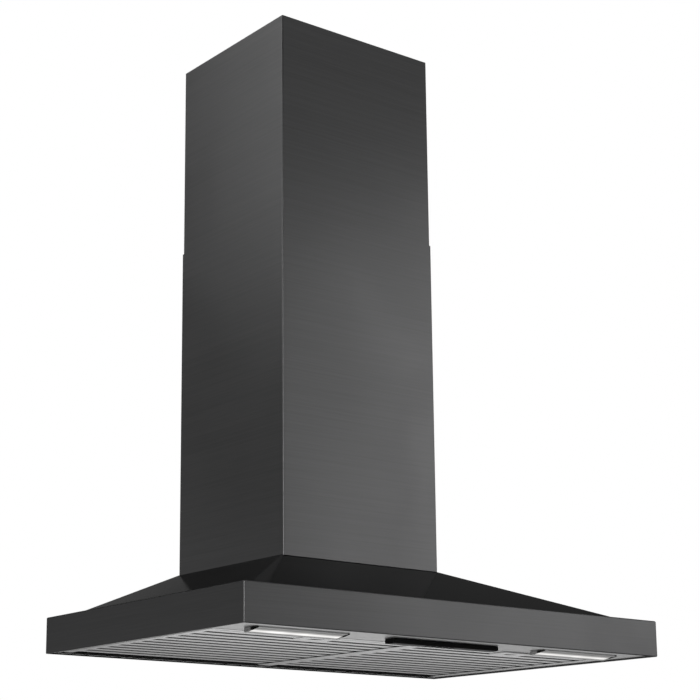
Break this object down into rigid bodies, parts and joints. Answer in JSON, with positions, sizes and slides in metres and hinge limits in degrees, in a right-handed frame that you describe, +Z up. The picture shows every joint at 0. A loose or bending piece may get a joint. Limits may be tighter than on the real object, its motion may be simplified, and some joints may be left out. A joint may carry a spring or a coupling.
{
  "type": "wall chimney range hood",
  "caption": "Wall-mounted pyramid range hood with a telescopic chimney, baffle grease filters, lamps, push buttons and a centrifugal blower.",
  "frame": {"origin": "on the wall plane, at the middle of the canopy's width, level with the lower edge of the skirt", "axes": "+Z up, +Y into the wall, +X to the right of a person who faces the hood"},
  "size_m": [0.76, 0.5, 0.9802],
  "materials": {
    "black_stainless": "dark tinted stainless steel, fine brushed grain",
    "liner_stainless": "natural stainless steel, satin",
    "filter_stainless": "natural stainless steel, brushed",
    "galvanised": "galvanised sheet, spangled",
    "zinc": "bright zinc plate",
    "gloss_black": "high gloss",
    "black_plastic": "matt moulded",
    "grey_plastic": "matt moulded",
    "white_plastic": "matt moulded",
    "lamp_lens": "frosted diffuser, lit",
    "circuit_board": "green solder mask"
  },
  "bodies": {
    "canopy": {"canopy_shell": "black_stainless", "back_panel": "galvanised", "underside_liner": "liner_stainless", "control_fascia": "gloss_black", "control_housing": "black_plastic", "control_board": "circuit_board", "chimney_lower": "black_stainless", "blower_box": "galvanised", "blower_front_cover": "galvanised", "scroll_left": "black_plastic", "scroll_right": "black_plastic", "motor": "zinc", "motor_bracket": "galvanised", "duct_collar": "black_plastic", "junction_box": "white_plastic", "junction_cover": "white_plastic", "terminal_block": "white_plastic", "mains_grommet": "black_plastic", "capacitor": "white_plastic", "led_driver": "white_plastic", "lamp_bezel_left": "black_plastic", "lamp_lens_left": "lamp_lens", "lamp_board_left": "circuit_board", "lamp_can_left": "white_plastic", "lamp_bezel_right": "black_plastic", "lamp_lens_right": "lamp_lens", "lamp_board_right": "circuit_board", "lamp_can_right": "white_plastic", "flap_rod_rear": "zinc", "flap_rod_front": "zinc"},
    "upper_chimney": {"chimney_upper": "black_stainless", "chimney_wall_bracket": "galvanised", "chimney_screw_left": "zinc", "chimney_screw_right": "zinc"},
    "fan": {"fan_wheel": "grey_plastic", "motor_shaft": "zinc"},
    "flap_front": {"flap_front": "black_plastic"},
    "flap_rear": {"flap_rear": "black_plastic"},
    "filter_left": {"filter_frame_left": "filter_stainless", "filter_lower_baffles_left": "filter_stainless", "filter_upper_baffles_left": "filter_stainless", "latch_plate_left": "filter_stainless"},
    "latch_left": {"latch_slider_left": "zinc"},
    "filter_right": {"filter_frame_right": "filter_stainless", "filter_lower_baffles_right": "filter_stainless", "filter_upper_baffles_right": "filter_stainless", "latch_plate_right": "filter_stainless"},
    "latch_right": {"latch_slider_right": "zinc"},
    "button_1": {"button_1": "gloss_black"},
    "button_2": {"button_2": "gloss_black"},
    "button_3": {"button_3": "gloss_black"},
    "button_4": {"button_4": "gloss_black"},
    "button_5": {"button_5": "gloss_black"}
  },
  "joints": [
    {"name": "upper_chimney_slide", "type": "slide", "parent": "canopy", "child": "upper_chimney", "axis": [0, 0, 1], "range_m": [-0.24, 0.12]},
    {"name": "fan_spin", "type": "hinge", "parent": "canopy", "child": "fan", "pos_m": [0, -0.135, 0.25], "axis": [1, 0, 0], "continuous": true},
    {"name": "flap_rear_hinge", "type": "hinge", "parent": "canopy", "child": "flap_rear", "pos_m": [0, -0.087, 0.4241], "axis": [1, 0, 0], "range_deg": [0, 80]},
    {"name": "flap_front_hinge", "type": "hinge", "parent": "canopy", "child": "flap_front", "pos_m": [0, -0.097, 0.4241], "axis": [-1, 0, 0], "range_deg": [0, 80]},
    {"name": "filter_left_tilt", "type": "hinge", "parent": "canopy", "child": "filter_left", "pos_m": [-0.18125, -0.009, 0.005], "axis": [1, 0, 0], "range_deg": [0, 60]},
    {"name": "latch_left_slide", "type": "slide", "parent": "filter_left", "child": "latch_left", "axis": [0, 1, 0], "range_m": [0, 0.006], "stiffness_N_per_m": 300},
    {"name": "filter_right_tilt", "type": "hinge", "parent": "canopy", "child": "filter_right", "pos_m": [0.18125, -0.009, 0.005], "axis": [1, 0, 0], "range_deg": [0, 60]},
    {"name": "latch_right_slide", "type": "slide", "parent": "filter_right", "child": "latch_right", "axis": [0, 1, 0], "range_m": [0, 0.006], "stiffness_N_per_m": 300},
    {"name": "button_1_press", "type": "slide", "parent": "canopy", "child": "button_1", "axis": [0, 0, 1], "range_m": [0, 0.0015], "stiffness_N_per_m": 400},
    {"name": "button_2_press", "type": "slide", "parent": "canopy", "child": "button_2", "axis": [0, 0, 1], "range_m": [0, 0.0015], "stiffness_N_per_m": 400},
    {"name": "button_3_press", "type": "slide", "parent": "canopy", "child": "button_3", "axis": [0, 0, 1], "range_m": [0, 0.0015], "stiffness_N_per_m": 400},
    {"name": "button_4_press", "type": "slide", "parent": "canopy", "child": "button_4", "axis": [0, 0, 1], "range_m": [0, 0.0015], "stiffness_N_per_m": 400},
    {"name": "button_5_press", "type": "slide", "parent": "canopy", "child": "button_5", "axis": [0, 0, 1], "range_m": [0, 0.0015], "stiffness_N_per_m": 400}
  ]
}
